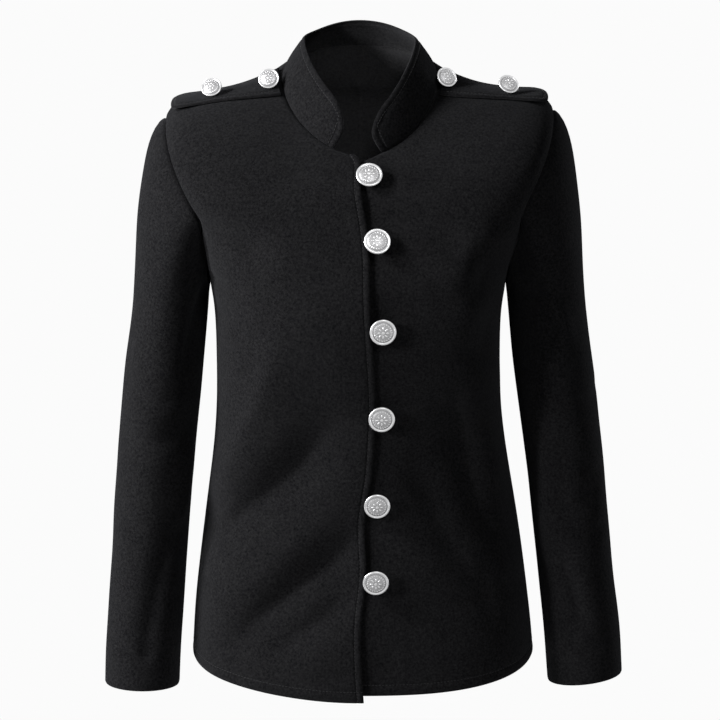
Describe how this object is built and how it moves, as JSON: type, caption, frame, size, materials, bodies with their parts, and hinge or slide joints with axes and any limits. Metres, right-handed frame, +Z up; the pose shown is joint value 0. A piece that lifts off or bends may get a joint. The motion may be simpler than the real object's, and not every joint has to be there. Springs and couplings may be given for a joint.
{
  "type": "stand-collar blazer",
  "caption": "Hip-length stand-collar blazer in black cloth, as worn and buttoned, with plain sleeves, shoulder straps and domed silver shank buttons.",
  "frame": {"origin": "midway between the two high shoulder points, where the shoulder seams meet the collar; the wearer's shoulders hold the garment there", "axes": "+Z up, the front faces -Y, +X to the wearer's left"},
  "size_m": [0.5101, 0.2527, 0.6485],
  "materials": {
    "front": "matt black crepe knit, finely pebbled",
    "back": "matt black crepe knit, finely pebbled",
    "sleeve": "matt black crepe knit, finely pebbled",
    "collar": "matt black crepe knit, finely pebbled",
    "epaulette": "matt black crepe knit, finely pebbled",
    "front_button": "silvered metal, satin, with a raised rim and relief",
    "strap_button": "silvered metal, satin, with a raised rim and relief"
  },
  "bodies": {
    "root": {"front_right": "front", "front_left": "front", "back_right": "back", "back_left": "back", "sleeve_right": "sleeve", "sleeve_left": "sleeve", "collar": "collar", "epaulette_right": "epaulette", "epaulette_left": "epaulette", "button_front_1": "front_button", "button_front_2": "front_button", "button_front_3": "front_button", "button_front_4": "front_button", "button_front_5": "front_button", "button_front_6": "front_button", "button_strap_right_outer": "strap_button", "button_strap_right_inner": "strap_button", "button_strap_left_inner": "strap_button", "button_strap_left_outer": "strap_button"}
  },
  "joints": []
}
